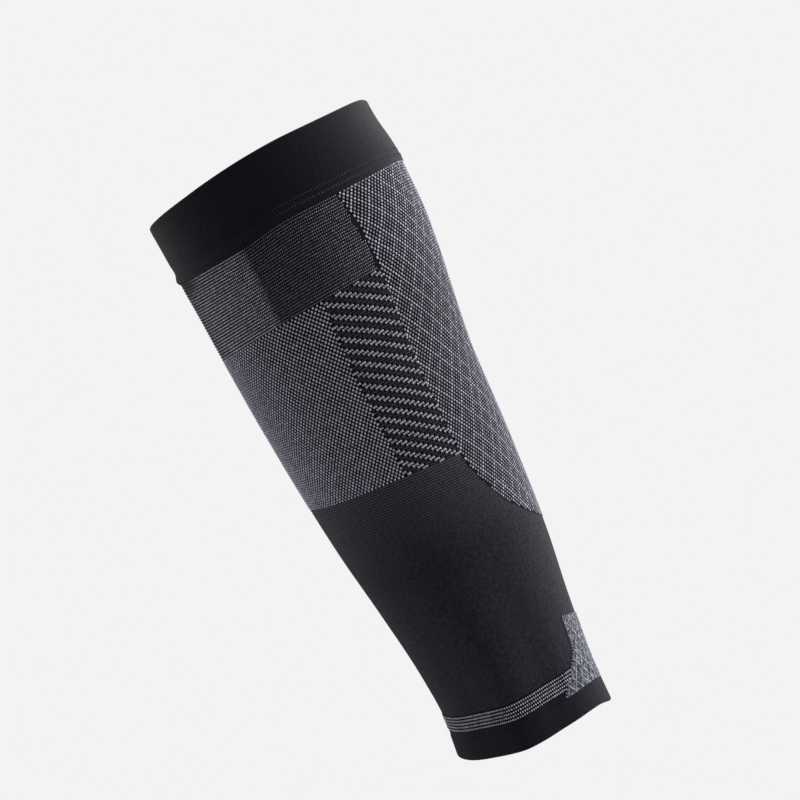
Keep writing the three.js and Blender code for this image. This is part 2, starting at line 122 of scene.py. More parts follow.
def read_table(places, table, column):
    """A table's column at places in its first column, on a smooth curve through its rows."""
    knots = table[:, 0]
    values = table[:, column]
    last = len(knots) - 1
    below = np.maximum(np.arange(last + 1) - 1, 0)
    above = np.minimum(np.arange(last + 1) + 1, last)
    slopes = (values[above] - values[below]) / (knots[above] - knots[below])
    places = np.clip(places, knots[0], knots[-1])
    at = np.clip(np.searchsorted(knots, places), 1, last)
    span = knots[at] - knots[at - 1]
    rise = values[at] - values[at - 1]
    t = (places - knots[at - 1]) / span
    bend = t * (1 - t) * ((1 - t) * (slopes[at - 1] * span - rise) - t * (slopes[at] * span - rise))
    return values[at - 1] + t * rise + bend


def from_shin(angles):
    """Angles folded onto one side: 0 at the shin and 180 at the back."""
    return np.abs((angles + 180) % 360 - 180)


def back(angles):
    """How far an angle is turned to the back: 0 at the shin and 1 at the back."""
    return (1 - np.cos(np.radians(angles))) / 2


def leg_points(angles, levels, proud=0.0):
    """Points of the leg's surface, moved outwards, square to its section, by proud."""
    angles, levels, proud = np.broadcast_arrays(angles, levels, proud)
    height = np.where(levels > 0, levels / TOP_RISE, levels / HEM_DROP)
    shin, calf, side = (
        ankle + (knee - ankle) * read_table(height, LEG_FORM, column)
        for ankle, knee, column in zip(ANKLE_REACH, KNEE_REACH, (1, 2, 3))
    )
    half_depth = (shin + calf) / 2
    turn = np.radians(angles)
    x = side * np.sin(turn)
    y = -half_depth * np.cos(turn)
    out = np.stack([x / side**2, y / half_depth**2])
    out = out / np.linalg.norm(out, axis=0)
    bones = read_table(from_shin(angles), BONY_SECTION, 1)
    fullness = 1 + (bones - 1) * read_table(height, LEG_FORM, 4)
    x = x * fullness + out[0] * proud
    y = y * fullness + out[1] * proud + (calf - shin) / 2
    return np.stack([x, y, levels], axis=-1)


def top_rim(angles):
    sway = CUFF_WAVE * read_table(from_shin(angles), CUFF_EDGES, 1)
    return TOP_RISE + TOP_BACK_LIFT * back(angles) ** 6 + sway


def cuff_line(angles):
    sway = CUFF_WAVE * read_table(from_shin(angles), CUFF_EDGES, 2)
    return TOP_RISE - TOP_CUFF_HEIGHT + TOP_BACK_LIFT * back(angles) ** 6 + sway


def knit_shell(name, angles, levels, proud, inside, stitches, ring=False, keep=(4, 3)):
    """A closed piece of knit: a fine outer skin, a coarser inner skin and the edges between them.

    angles and levels place the skins' points, rows from the bottom up, proud and inside say how far
    each skin stands out there, and stitches numbers the wales and courses for the UV map. The inner
    skin keeps every keep-th row and column, and a ring's last column is its first, a full turn on.
    """
    angles, levels, proud, inside, wales, courses = np.broadcast_arrays(
        angles, levels, proud, inside, stitches[0], stitches[1])
    rows, columns = angles.shape
    around = columns - 1 if ring else columns
    kept_rows = sorted({*range(0, rows, keep[0]), rows - 1})
    kept_columns = sorted({*range(0, columns, keep[1]), columns - 1})
    skin = leg_points(angles, levels, proud)[:, :around].reshape(-1, 3)
    lining = leg_points(angles, levels, inside)[:, :around]
    inner_columns = kept_columns[:-1] if ring else kept_columns
    lining = lining[np.ix_(kept_rows, inner_columns)].reshape(-1, 3)

    corners = []
    faces = []

    def outer(row, column):
        return row * around + column % around, (row, column)

    def inner(i, j):
        place = i * len(inner_columns) + j % len(inner_columns)
        return len(skin) + place, (kept_rows[i], kept_columns[j])

    def face(*points):
        faces.append([index for index, _ in points])
        corners.extend(place for _, place in points)

    for r in range(rows - 1):
        for c in range(columns - 1):
            face(outer(r, c), outer(r, c + 1), outer(r + 1, c + 1), outer(r + 1, c))
    for i in range(len(kept_rows) - 1):
        for j in range(len(kept_columns) - 1):
            face(inner(i, j + 1), inner(i, j), inner(i + 1, j), inner(i + 1, j + 1))
    last = rows - 1
    end = columns - 1
    for j in range(len(kept_columns) - 1):
        stretch = range(kept_columns[j], kept_columns[j + 1] + 1)
        face(inner(0, j), inner(0, j + 1), *(outer(0, c) for c in reversed(stretch)))
        top = len(kept_rows) - 1
        face(*(outer(last, c) for c in stretch), inner(top, j + 1), inner(top, j))
    if not ring:
        side = len(kept_columns) - 1
        for i in range(len(kept_rows) - 1):
            stretch = range(kept_rows[i], kept_rows[i + 1] + 1)
            face(inner(i, 0), *(outer(r, 0) for r in stretch), inner(i + 1, 0))
            face(inner(i, side), inner(i + 1, side), *(outer(r, end) for r in reversed(stretch)))

    mesh = bpy.data.meshes.new(name)
    mesh.from_pydata(np.vstack([skin, lining]).tolist(), [], faces)
    at = np.array(corners)
    uv = np.stack([wales[at[:, 0], at[:, 1]], courses[at[:, 0], at[:, 1]]], axis=-1)
    mesh.uv_layers.new(name="stitches").data.foreach_set("uv", uv.ravel())
    mesh.shade_smooth()
    mesh.set_sharp_from_angle(angle=math.radians(50))
    piece = bpy.data.objects.new(name, mesh)
    bpy.context.scene.collection.objects.link(piece)
    return piece


def math_node(tree, operation, *values):
    """A Math node's result. Its values are numbers or other nodes' results."""
    node = tree.nodes.new("ShaderNodeMath")
    node.operation = operation
    for socket, value in zip(node.inputs, values):
        if isinstance(value, bpy.types.NodeSocket):
            tree.links.new(value, socket)
        else:
            socket.default_value = value
    return node.outputs[0]


def stitch_place(tree):
    """The wale and the course at a shaded point."""
    place = tree.nodes.new("ShaderNodeUVMap")
    place.uv_map = "stitches"
    parts = tree.nodes.new("ShaderNodeSeparateXYZ")
    tree.links.new(place.outputs[0], parts.inputs[0])
    return parts.outputs[0], parts.outputs[1]


def yarn_noise(tree, scale, detail=2.0):
    """Noise over the object, with scale in cells a metre."""
    place = tree.nodes.new("ShaderNodeTexCoord")
    noise = tree.nodes.new("ShaderNodeTexNoise")
    noise.inputs["Scale"].default_value = scale
    noise.inputs["Detail"].default_value = detail
    tree.links.new(place.outputs["Object"], noise.inputs["Vector"])
    return noise.outputs[0]


def ramp(tree, factor, *stops):
    """A colour ramp from (place, colour) stops."""
    node = tree.nodes.new("ShaderNodeValToRGB")
    elements = node.color_ramp.elements
    for element, (place, colour) in zip(elements, (stops[0], stops[-1])):
        element.position = place
        element.color = (*colour, 1)
    for place, colour in stops[1:-1]:
        elements.new(place).color = (*colour, 1)
    tree.links.new(factor, node.inputs[0])
    return node.outputs[0]


def wave(tree, count):
    """A wave from 0 to 1 and back over each whole step of a count."""
    turns = math_node(tree, "MULTIPLY", count, 2 * math.pi)
    return math_node(tree, "MULTIPLY_ADD", math_node(tree, "COSINE", turns), -0.5, 0.5)


def yarn(name, roughness=0.75, sheen=0.15, specular=0.3):
    """An empty fabric material, and its tree and shader."""
    material = bpy.data.materials.new(name)
    material.use_nodes = True
    tree = material.node_tree
    shader = tree.nodes["Principled BSDF"]
    shader.inputs["Roughness"].default_value = roughness
    shader.inputs["Specular IOR Level"].default_value = specular
    shader.inputs["Sheen Weight"].default_value = sheen
    shader.inputs["Sheen Roughness"].default_value = 0.4
    return material, tree, shader


def raise_yarn(tree, shader, height, depth):
    """Bump, with the depth that a height of 1 stands for."""
    bump = tree.nodes.new("ShaderNodeBump")
    bump.inputs["Strength"].default_value = 1
    bump.inputs["Distance"].default_value = depth
    tree.links.new(height, bump.inputs["Height"])
    tree.links.new(bump.outputs[0], shader.inputs["Normal"])


def stockinette(tree, wale, course):
    """Height of plain knit, 0 to 1: columns of small V shapes."""
    across = math_node(tree, "ABSOLUTE", math_node(tree, "SUBTRACT", math_node(tree, "FRACT", wale), 0.5))
    leg = wave(tree, math_node(tree, "SUBTRACT", course, math_node(tree, "MULTIPLY", across, 1.2)))
    column = wave(tree, math_node(tree, "MULTIPLY_ADD", across, 1.0, 0.25))
    return math_node(tree, "MULTIPLY", leg, column)


def plain_knit(name, dark, pale, grain=700, depth=0.0002, sheen=0.15, specular=0.3):
    """Plain knit in one yarn, whose fuzz and stitches vary its tone between two colours."""
    material, tree, shader = yarn(name, sheen=sheen, specular=specular)
    wale, course = stitch_place(tree)
    fuzz = yarn_noise(tree, grain, 3.0)
    height = math_node(tree, "MULTIPLY_ADD", stockinette(tree, wale, course), 0.35, fuzz)
    tree.links.new(ramp(tree, height, (0.35, dark), (0.85, pale)), shader.inputs["Base Color"])
    raise_yarn(tree, shader, height, depth)
    return material


def finish(piece, node, material=None):
    """Joins a piece to the frame."""
    if material:
        piece.data.materials.append(material)
    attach(piece, "root")
    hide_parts(node)


KNIT_WALL = 0.0012
WALES_ROUND = 340

# Columns: height over the cuff's lower edge, and how far the cuff stands out there
CUFF_PROFILE = np.array([
    (0, 0.0001),
    (0.0006, 0.0008),
    (0.0014, 0.0014),
    (0.0024, 0.0015),
    (0.0038, 0.0011),
    (0.0054, 0.0006),
    (0.0075, 0.0004),
    (0.01, 0.0006),
    (0.013, 0.0008),
    (0.0333, 0.0008),
])
RIM_RADIUS = TOP_CUFF_WALL / 2
PUCKER_TOP = 0.009
RIM_START = 0.0333
PUCKER_FADE = 0.85
around = np.linspace(-180, 180, 241)
heights = np.concatenate([np.linspace(0, PUCKER_TOP, 25)[:-1],
                          np.linspace(PUCKER_TOP, RIM_START, 20)[:-1]])
curl = np.radians(np.linspace(0, 90, 7))
heights = np.concatenate([heights, TOP_CUFF_HEIGHT - RIM_RADIUS * (1 - np.sin(curl))])
pucker = read_table(np.minimum(heights, RIM_START), CUFF_PROFILE, 1) - TOP_CUFF_PROUD
pucker = pucker[:, None] * (1 - PUCKER_FADE * back(around) ** 2)[None, :]
turned = np.zeros(len(heights))
turned[-len(curl):] = RIM_RADIUS * (1 - np.cos(curl))
stand = TOP_CUFF_PROUD + pucker - turned[:, None]
inside = TOP_CUFF_PROUD - TOP_CUFF_WALL + turned
levels = cuff_line(around)[None, :] + heights[:, None] / TOP_CUFF_HEIGHT * (
    top_rim(around) - cuff_line(around))[None, :]
cuff_wales = around * WALES_ROUND / 360
top_cuff = knit_shell(
    "top_cuff_knit", around[None, :], levels, stand, inside[:, None],
    (cuff_wales[None, :], heights[:, None] / 0.0009), ring=True, keep=(1, 3))
cuff_yarn = plain_knit("black double knit", (0.0062, 0.005, 0.0108), (0.0128, 0.0105, 0.0205),
                       grain=800, depth=0.00025, sheen=0.21, specular=0.18)
finish(top_cuff, "top_cuff", cuff_yarn)


def stitch_layer():
    """A node tree that lays a stitch on every point, facing outwards, and joins them to one mesh."""
    group = bpy.data.node_groups.new("lay stitches", "GeometryNodeTree")
    group.interface.new_socket("Geometry", in_out="INPUT", socket_type="NodeSocketGeometry")
    for name, kind in (("Stitch", "Object"), ("Size", "Vector"), ("Unevenness", "Float"),
                       ("Yarn", "Material")):
        group.interface.new_socket(name, in_out="INPUT", socket_type="NodeSocket" + kind)
    group.interface.new_socket("Geometry", in_out="OUTPUT", socket_type="NodeSocketGeometry")
    nodes = group.nodes
    link = group.links.new
    given = nodes.new("NodeGroupInput")

    def attribute(name):
        node = nodes.new("GeometryNodeInputNamedAttribute")
        node.data_type = "FLOAT_VECTOR"
        node.inputs["Name"].default_value = name
        return node.outputs["Attribute"]

    stitch = nodes.new("GeometryNodeObjectInfo")
    link(given.outputs["Stitch"], stitch.inputs["Object"])
    facing = nodes.new("FunctionNodeAxesToRotation")
    facing.primary_axis = "Z"
    facing.secondary_axis = "X"
    link(attribute("outwards"), facing.inputs["Primary Axis"])
    link(attribute("along"), facing.inputs["Secondary Axis"])
    uneven = nodes.new("FunctionNodeRandomValue")
    uneven.data_type = "FLOAT"
    uneven.inputs["Seed"].default_value = 7
    low = nodes.new("ShaderNodeMath")
    low.operation = "SUBTRACT"
    low.inputs[0].default_value = 1
    link(given.outputs["Unevenness"], low.inputs[1])
    link(low.outputs[0], uneven.inputs[2])
    high = nodes.new("ShaderNodeMath")
    high.operation = "ADD"
    high.inputs[0].default_value = 1
    link(given.outputs["Unevenness"], high.inputs[1])
    link(high.outputs[0], uneven.inputs[3])
    size = nodes.new("ShaderNodeVectorMath")
    size.operation = "MULTIPLY"
    link(attribute("size"), size.inputs[0])
    link(given.outputs["Size"], size.inputs[1])
    scaled = nodes.new("ShaderNodeVectorMath")
    scaled.operation = "SCALE"
    link(size.outputs[0], scaled.inputs[0])
    link(uneven.outputs[1], scaled.inputs["Scale"])
    laid = nodes.new("GeometryNodeInstanceOnPoints")
    link(given.outputs["Geometry"], laid.inputs["Points"])
    link(stitch.outputs["Geometry"], laid.inputs["Instance"])
    link(facing.outputs[0], laid.inputs["Rotation"])
    link(scaled.outputs[0], laid.inputs["Scale"])
    real = nodes.new("GeometryNodeRealizeInstances")
    link(laid.outputs[0], real.inputs[0])
    coloured = nodes.new("GeometryNodeSetMaterial")
    link(real.outputs[0], coloured.inputs["Geometry"])
    link(given.outputs["Yarn"], coloured.inputs["Material"])
    result = nodes.new("NodeGroupOutput")
    link(coloured.outputs[0], result.inputs[0])
    return group


def round_stitch():
    """The stitch to repeat: a closed dome of 6 sides, 2 by 2 by 1 in size, with a flat underside.
    Its attribute crown falls from 1 at the top to 0 at the foot, and the yarn uses it to paint shade down
    the stitch's sides."""
    mesh = bpy.data.meshes.new("stitch")
    points = [(0, 0, 1)]
    for radius, height, shift in ((0.68, 0.74, 0.5), (1, 0, 0)):
        for i in range(6):
            turn = (i + shift) * math.pi / 3
            points.append((radius * math.cos(turn), radius * math.sin(turn), height))
    faces = [(0, 1 + i, 1 + (i + 1) % 6) for i in range(6)]
    for i in range(6):
        following = (i + 1) % 6
        faces.append((1 + i, 7 + i, 7 + following))
        faces.append((1 + i, 7 + following, 1 + following))
    faces.append(tuple(reversed(range(7, 13))))
    mesh.from_pydata(points, [], faces)
    crown = [1.0] + [0.85] * 6 + [0.0] * 6
    mesh.attributes.new("crown", "FLOAT", "POINT").data.foreach_set("value", crown)
    mesh.shade_smooth()
    return bpy.data.objects.new("stitch", mesh)


LAYER = stitch_layer()
STITCH = round_stitch()
CHANCE = np.random.default_rng(11)


def lay_stitches(name, angles, levels, proud, size, material, tone=1.0, scale=1.0, lean=0.0,
                 uneven=0.08, mottle=0.2):
    """Stitches of one yarn, as one mesh. size is their width, height and thickness, scale makes each
    one larger or smaller, tone lighter or darker, and lean turns them, in degrees, up from the
    course. uneven and mottle are how much size and tone differ by chance."""
    angles = np.asarray(angles, float)
    levels = np.asarray(levels, float)
    points = leg_points(angles, levels, proud)
    nudge = 0.2
    along = leg_points(angles + nudge, levels, proud) - leg_points(angles - nudge, levels, proud)
    upward = leg_points(angles, levels + 0.0005, proud) - leg_points(angles, levels - 0.0005, proud)
    along /= np.linalg.norm(along, axis=1)[:, None]
    outwards = np.cross(along, upward)
    outwards /= np.linalg.norm(outwards, axis=1)[:, None]
    upward = np.cross(outwards, along)
    lean = np.radians(np.broadcast_to(lean, angles.shape))[:, None]
    along = along * np.cos(lean) + upward * np.sin(lean)
    sizes = np.repeat(np.broadcast_to(scale, angles.shape)[:, None], 3, axis=1)
    mesh = bpy.data.meshes.new(name)
    mesh.from_pydata(points.tolist(), [], [])
    for label, values in (("outwards", outwards), ("along", along), ("size", sizes)):
        mesh.attributes.new(label, "FLOAT_VECTOR", "POINT").data.foreach_set("vector", values.ravel())
    tones = np.asarray(tone) * (1 + mottle * CHANCE.standard_normal(len(points)).clip(-2, 2))
    mesh.attributes.new("tone", "FLOAT", "POINT").data.foreach_set("value", tones)
    piece = bpy.data.objects.new(name, mesh)
    bpy.context.scene.collection.objects.link(piece)
    layer = piece.modifiers.new("stitches", "NODES")
    layer.node_group = LAYER
    inputs = {item.name: item.identifier for item in LAYER.interface.items_tree if item.in_out == "INPUT"}
    layer[inputs["Stitch"]] = STITCH
    layer[inputs["Size"]] = (size[0] / 2, size[1] / 2, size[2])
    layer[inputs["Unevenness"]] = uneven
    layer[inputs["Yarn"]] = material
    evaluated = piece.evaluated_get(bpy.context.evaluated_depsgraph_get())
    solid = bpy.data.meshes.new_from_object(evaluated)
    piece.modifiers.clear()
    for label in ("outwards", "along", "size"):
        solid.attributes.remove(solid.attributes[label])
    solid.name = name
    piece.data = solid
    return piece


def stitch_yarn(name, foot, crown, sheen=0.2):
    """Yarn for laid stitches: its colour runs from the light crown colour at a stitch's top to the
    near-black foot colour at its sides and foot, which is painted shade.
    """
    material, tree, shader = yarn(name, roughness=0.8, sheen=sheen, specular=0.2)
    parts = []
    for label in ("crown", "tone"):
        node = tree.nodes.new("ShaderNodeAttribute")
        node.attribute_name = label
        parts.append(node.outputs["Fac"])
    fuzz = yarn_noise(tree, 2500)
    # painted shade: the colour darkens with crown, from the stitch's top down to its foot
    lit = math_node(tree, "MULTIPLY", math_node(tree, "POWER", parts[0], 1.3), parts[1])
    lit = math_node(tree, "MULTIPLY", lit, math_node(tree, "MULTIPLY_ADD", fuzz, 0.6, 0.55))
    tree.links.new(ramp(tree, lit, (0, foot), (1, crown)), shader.inputs["Base Color"])
    raise_yarn(tree, shader, fuzz, 0.0001)
    return material


PICOT_ROWS = (0.0031, 0.0064)
PICOT_COUNT = 260
PICOT_START, PICOT_FULL = 85, 110
picot_yarn = stitch_yarn("black picot yarn", (0.002, 0.0017, 0.003), (0.11, 0.1, 0.135))
turns = np.arange(PICOT_COUNT) * 360 / PICOT_COUNT - 180
angles = np.concatenate([turns, turns + 180 / PICOT_COUNT])
heights = np.repeat(PICOT_ROWS, PICOT_COUNT)
heights = heights[from_shin(angles) > PICOT_START]
angles = angles[from_shin(angles) > PICOT_START]
proud = TOP_CUFF_PROUD + (read_table(heights, CUFF_PROFILE, 1) - TOP_CUFF_PROUD) * (
    1 - PUCKER_FADE * back(angles) ** 2)
picots = lay_stitches("top_cuff_picots", angles, cuff_line(angles) + heights, proud - 0.0001,
                      (0.00095, 0.0014, 0.0003), picot_yarn,
                      tone=np.interp(from_shin(angles), (PICOT_START, PICOT_FULL), (0.4, 1)))
finish(picots, "top_cuff")

# Ribbed band over the shin and sides: black knit with a thin grey yarn laid in at each course, which
# shows as rows of small flat stitches. They are palest over the shin and stop short of the calf.
UPPER_SEAM = (0.0463, 0.0034)
UPPER_SEAM_RISE = np.array([(0, 0), (0.36, -0.3), (0.77, 0.25), (1, 1)])
CALF_ANGLE = 117.5
RIB_COUNT = 29
RIB_STITCH = 0.98

# Columns: share of the way up from the upper seam to the cuff, and the calf edge's angle there
RIBBED_EDGE = np.array([(0, 0.994 * CALF_ANGLE), (0.5, 0.997 * CALF_ANGLE), (1, 0.975 * CALF_ANGLE)])

# Columns: angle from the shin, and how light the grey stitches are
RIB_TONE = np.array([
    (0, 0.45),
    (15, 0.6),
    (24, 1),
    (32, 1.3),
    (55, 1.25),
    (64, 1.05),
    (67, 0.33),
    (90, 0.34),
    (104, 0.56),
    (118, 0.68),
])

# Columns: share of the way up, and degrees of bare ground between the ribs and the calf panel
RIBS_SHORT = np.array([(0, 1.4), (0.36, 1.7), (0.42, 3.3), (0.6, 3.5), (0.7, 2.7), (0.76, 2.4), (1, 2.7)])


def upper_seam(angles):
    share = read_table(np.abs(angles) / CALF_ANGLE, UPPER_SEAM_RISE, 1)
    return UPPER_SEAM[0] + UPPER_SEAM[1] * share


up = np.linspace(0, 1, 61)
edge = np.interp(up, RIBBED_EDGE[:, 0], RIBBED_EDGE[:, 1])
angles = edge[:, None] * np.linspace(-1, 1, 97)[None, :]
low = upper_seam(angles)
levels = low + (cuff_line(angles) - low) * up[:, None]
ribbed = knit_shell("upper_shin_knit", angles, levels, 0.0, -KNIT_WALL,
                    (angles, (RIB_COUNT * up)[:, None]))
ground_yarn = plain_knit("black ground knit", (0.0015, 0.0013, 0.0023), (0.009, 0.0078, 0.013),
                         sheen=0.02, specular=0.12)
ribbed_ground = plain_knit("black ribbed ground", (0.0043, 0.0034, 0.0068), (0.021, 0.0173, 0.032),
                           sheen=0.06, specular=0.12)
finish(ribbed, "upper_shin_panel", ribbed_ground)

turns = []
shares = []
for rib in range(RIB_COUNT):
    share = (rib + 0.5) / RIB_COUNT
    wavy = 0.6 * math.sin(rib * 1.9) + 0.4 * math.sin(rib * 0.7)
    strip = np.interp(share, RIBS_SHORT[:, 0], RIBS_SHORT[:, 1]) + 0.3 * wavy
    reach = np.interp(share, RIBBED_EDGE[:, 0], RIBBED_EDGE[:, 1]) - strip
    row = np.arange(-reach, reach, RIB_STITCH)
    turns.append(row)
    shares.append(np.full(len(row), share))
turns = np.concatenate(turns)
shares = np.concatenate(shares)
levels = (1 - shares) * upper_seam(turns) + shares * cuff_line(turns)
tone = np.interp(from_shin(turns), RIB_TONE[:, 0], RIB_TONE[:, 1])
# painted shade: the top ribs, just under the cuff's pucker on the shin side, are darkened where the pucker
# shades them
shaded = np.interp(shares, (0.78, 0.9), (0, 1)) * np.interp(from_shin(turns), (26, 38), (1, 0))
tone = tone * (1 - 0.65 * shaded)
rib_yarn = stitch_yarn("grey rib yarn", (0.0045, 0.0036, 0.0075), (0.93, 0.87, 1.0))
rib_stitches = lay_stitches("upper_shin_ribs", turns, levels, -0.00005, (0.00088, 0.0009, 0.0004),
                            rib_yarn, tone=tone, scale=np.where(from_shin(turns) < 66, 1.08, 1.0))
finish(rib_stitches, "upper_shin_panel")

# Shin panel: bird's-eye knit between the two long seams. Grey stitches stand on the black ground, on
# every other wale and course.
LOWER_SEAM = (-0.0406, -0.003)
LOWER_SEAM_RISE = np.array([(0, -0.9), (0.2, -0.5), (0.36, -0.2), (0.77, 0.4), (1, 1)])
SHIN_ANGLE = 87
SHIN_WALES = 164
SHIN_COURSES = 70
SHIN_FADE_WALES = 60
SHIN_PALER = 1.2


def lower_seam(angles):
    share = read_table(np.abs(angles) / CALF_ANGLE, LOWER_SEAM_RISE, 1)
    return LOWER_SEAM[0] + LOWER_SEAM[1] * share


def between(low, high, steps):
    """Rows of values evenly spread from one row to another."""
    share = np.linspace(0, 1, steps + 1)[:, None]
    return (1 - share) * np.atleast_1d(low)[None, :] + share * np.atleast_1d(high)[None, :]


angles = np.linspace(-SHIN_ANGLE, SHIN_ANGLE, 121)[None, :]
levels = between(lower_seam(angles[0]), upper_seam(angles[0]), 48)
ground = knit_shell("shin_ground", angles, levels, 0.0, -KNIT_WALL,
                    (angles * SHIN_WALES / SHIN_ANGLE / 2, np.linspace(0, SHIN_COURSES, 49)[:, None]))
shin_ground, tree, shader = yarn("black shin ground", sheen=0.05, specular=0.15)
wale, course = stitch_place(tree)
fullest = math_node(tree, "MULTIPLY_ADD", math_node(tree, "ABSOLUTE", wale),
                    -1 / SHIN_FADE_WALES, 1.0)
fuzz = yarn_noise(tree, 700, 3.0)
height = math_node(tree, "MULTIPLY_ADD", stockinette(tree, wale, course), 0.35, fuzz)
tone = math_node(tree, "MULTIPLY_ADD", math_node(tree, "MAXIMUM", fullest, 0.0),
                 SHIN_PALER, height)
tree.links.new(ramp(tree, tone, (0.35, (0.0012, 0.001, 0.0018)), (0.85, (0.006, 0.0052, 0.0085)),
                    (1.0, (0.03, 0.028, 0.038))), shader.inputs["Base Color"])
raise_yarn(tree, shader, height, 0.0002)
finish(ground, "shin_panel", shin_ground)
wales, courses = np.meshgrid(np.arange(SHIN_WALES), np.arange(SHIN_COURSES))
chosen = (wales + courses) % 2 == 0
angles = ((wales[chosen] + 0.5) / SHIN_WALES * 2 - 1) * SHIN_ANGLE
share = (courses[chosen] + 0.5) / SHIN_COURSES
levels = (1 - share) * lower_seam(angles) + share * upper_seam(angles)
grey_yarn = stitch_yarn("grey yarn", (0.004, 0.0037, 0.006), (0.82, 0.82, 1.0))
stitches = lay_stitches("shin_stitches", angles, levels, -0.00005, (0.00135, 0.00145, 0.0005), grey_yarn,
                        tone=np.interp(from_shin(angles), (15, 45, 65, 87), (1.35, 1.25, 1.1, 1.05)),
                        mottle=0.13)
finish(stitches, "shin_panel")

# Side panels: short grey dashes of three stitches, with a hole at each end, among black stitches. Each
# course moves them two wales towards the calf on the way down. The two panels mirror each other.
SIDE_WALES = 30
DASH_STEP = 2
DASH_EVERY = 9


def calf_edge(levels):
    """The calf panel's upright edge below the cuff: its angle at a level."""
    knots = [LOWER_SEAM[0] + LOWER_SEAM[1], UPPER_SEAM[0] + UPPER_SEAM[1], 0.0693, 0.0888]
    return np.interp(levels, knots, CALF_ANGLE * np.array([1, 0.994, 0.997, 0.975]))


# Columns: wale in the repeat, how far it rises, and its tone. Wales 3 and 8 are the holes.
DASH = ((-0.05, -0.0002, 1.15), (1, 0, 0.9), (2, 0.0001, 1.1), (4, 0, 0.07), (5, 0, 0.1), (6, 0, 0.1),
        (7, 0, 0.07))
dashes = []
for row in range(SHIN_COURSES):
    first = (-DASH_STEP * row) % DASH_EVERY - DASH_EVERY
    for start in range(first, SIDE_WALES, DASH_EVERY):
        for number, rise, tone in DASH:
            if 0 <= start + number < SIDE_WALES:
                dashes.append((start + number + 0.5, row + 0.5, rise, tone))
dashes = np.array(dashes)
for side, name in ((1, "side_panel_outer"), (-1, "side_panel_inner")):
    near = side * np.full(49, SHIN_ANGLE)
    far_levels = between(lower_seam(CALF_ANGLE), upper_seam(CALF_ANGLE), 48)[:, 0]
    far = side * calf_edge(far_levels)
    left, right = (near, far) if side > 0 else (far, near)
    angles = between(left, right, 20).T
    share = np.linspace(0, 1, 49)[:, None]
    levels = (1 - share) * lower_seam(angles) + share * upper_seam(angles)
    wales = (np.abs(angles) - SHIN_ANGLE) * SIDE_WALES / (CALF_ANGLE - SHIN_ANGLE)
    ground = knit_shell(name + "_ground", angles, levels, 0.0, -KNIT_WALL,
                        (side * wales, share * SHIN_COURSES))
    finish(ground, name, ground_yarn)
    share = dashes[:, 1] / SHIN_COURSES
    angles = side * (SHIN_ANGLE + dashes[:, 0] / SIDE_WALES * (CALF_ANGLE - SHIN_ANGLE))
    levels = (1 - share) * lower_seam(angles) + share * upper_seam(angles) + dashes[:, 2]
    bright = dashes[:, 3] > 0.5
    stitches = lay_stitches(name + "_dashes", angles, levels, np.where(bright, -0.00005, -0.0002),
                            (0.00136, 0.00138, 0.00045), grey_yarn, tone=dashes[:, 3])
    finish(stitches, name)

# Calf panel: the same bird's-eye in a paler yarn, with a lattice of fuller stitches, from the cuff
# down to a rounded tip. Its courses run parallel to the cuff, where a fine pale row starts them.
CALF_DROP = 0.093
CALF_COURSE = 0.00135
CALF_WALES = 124
LATTICE = 18
LATTICE_LINES = (0, 8)

# Columns: level, and degrees by which the pale stitches reach over the calf panel's edge there
CALF_SPREAD = np.array([(0.04, 0), (0.052, -0.4), (0.0624, 1.0), (0.075, 1.3), (0.0888, 2.2)])

# Columns: share of the way from the calf panel's corner to the back, and how far down the tip is
CALF_TIP = np.array([
    (0, 0),
    (0.035, 0.17),
    (0.1, 0.332),
    (0.168, 0.474),
    (0.277, 0.636),
    (0.408, 0.757),
    (0.5, 0.822),
    (0.6, 0.879),
    (0.7, 0.925),
    (0.8, 0.96),
    (0.9, 0.985),
    (1, 1),
])


CALF_CORNER = LOWER_SEAM[0] + LOWER_SEAM[1]
CALF_ROWS = 143


def calf_tip(angles):
    share = (from_shin(angles) - CALF_ANGLE) / (180 - CALF_ANGLE)
    down = np.interp(share, CALF_TIP[:, 0], CALF_TIP[:, 1])
    return CALF_CORNER + (-CALF_DROP - CALF_CORNER) * down


turns = np.linspace(-1, 1, 81)
spots = 180 + (180 - CALF_ANGLE) * np.sign(turns) * np.abs(turns) ** 0.8
bottom = calf_tip(spots)
share = np.linspace(0, 1, 91)[:, None]
levels = (1 - share) * bottom[None, :] + share * cuff_line(spots)[None, :]
edge = calf_edge(np.maximum(levels[:, :1], CALF_CORNER))
angles = 180 + (spots[None, :] - 180) * (180 - edge) / (180 - CALF_ANGLE)
ground = knit_shell("calf_ground", angles, levels, 0.0, -KNIT_WALL,
                    (angles, (levels - cuff_line(angles)) / CALF_COURSE), keep=(3, 3))
finish(ground, "calf_panel", ground_yarn)

half_wales = CALF_WALES // 2
wales, courses = np.meshgrid(np.arange(-half_wales, half_wales + 1), np.arange(1, CALF_ROWS + 1))
level_of = cuff_line(180 + wales * 1.0) - (courses - 0.4) * CALF_COURSE
half = 180 - calf_edge(np.maximum(level_of, CALF_CORNER))
half += np.interp(level_of, CALF_SPREAD[:, 0], CALF_SPREAD[:, 1])
turn = 180 + wales / (half_wales + 0.4) * half
chosen = ((wales + courses) % 2 == 0) & (level_of > calf_tip(turn) + 0.0004)
inwards = half_wales - np.abs(wales)
rising = np.isin((inwards + courses) % LATTICE, LATTICE_LINES)
falling = np.isin((inwards - courses) % LATTICE, LATTICE_LINES)
lattice = rising | falling
tone = 0.6 + 0.34 * lattice + 0.2 * (inwards < 2)
tone *= np.interp(level_of, (0.03, 0.055, 0.085), (1, 1.22, 1.35))
pale_yarn = stitch_yarn("light grey yarn", (0.006, 0.0055, 0.009), (0.83, 0.845, 1.0), sheen=0.25)
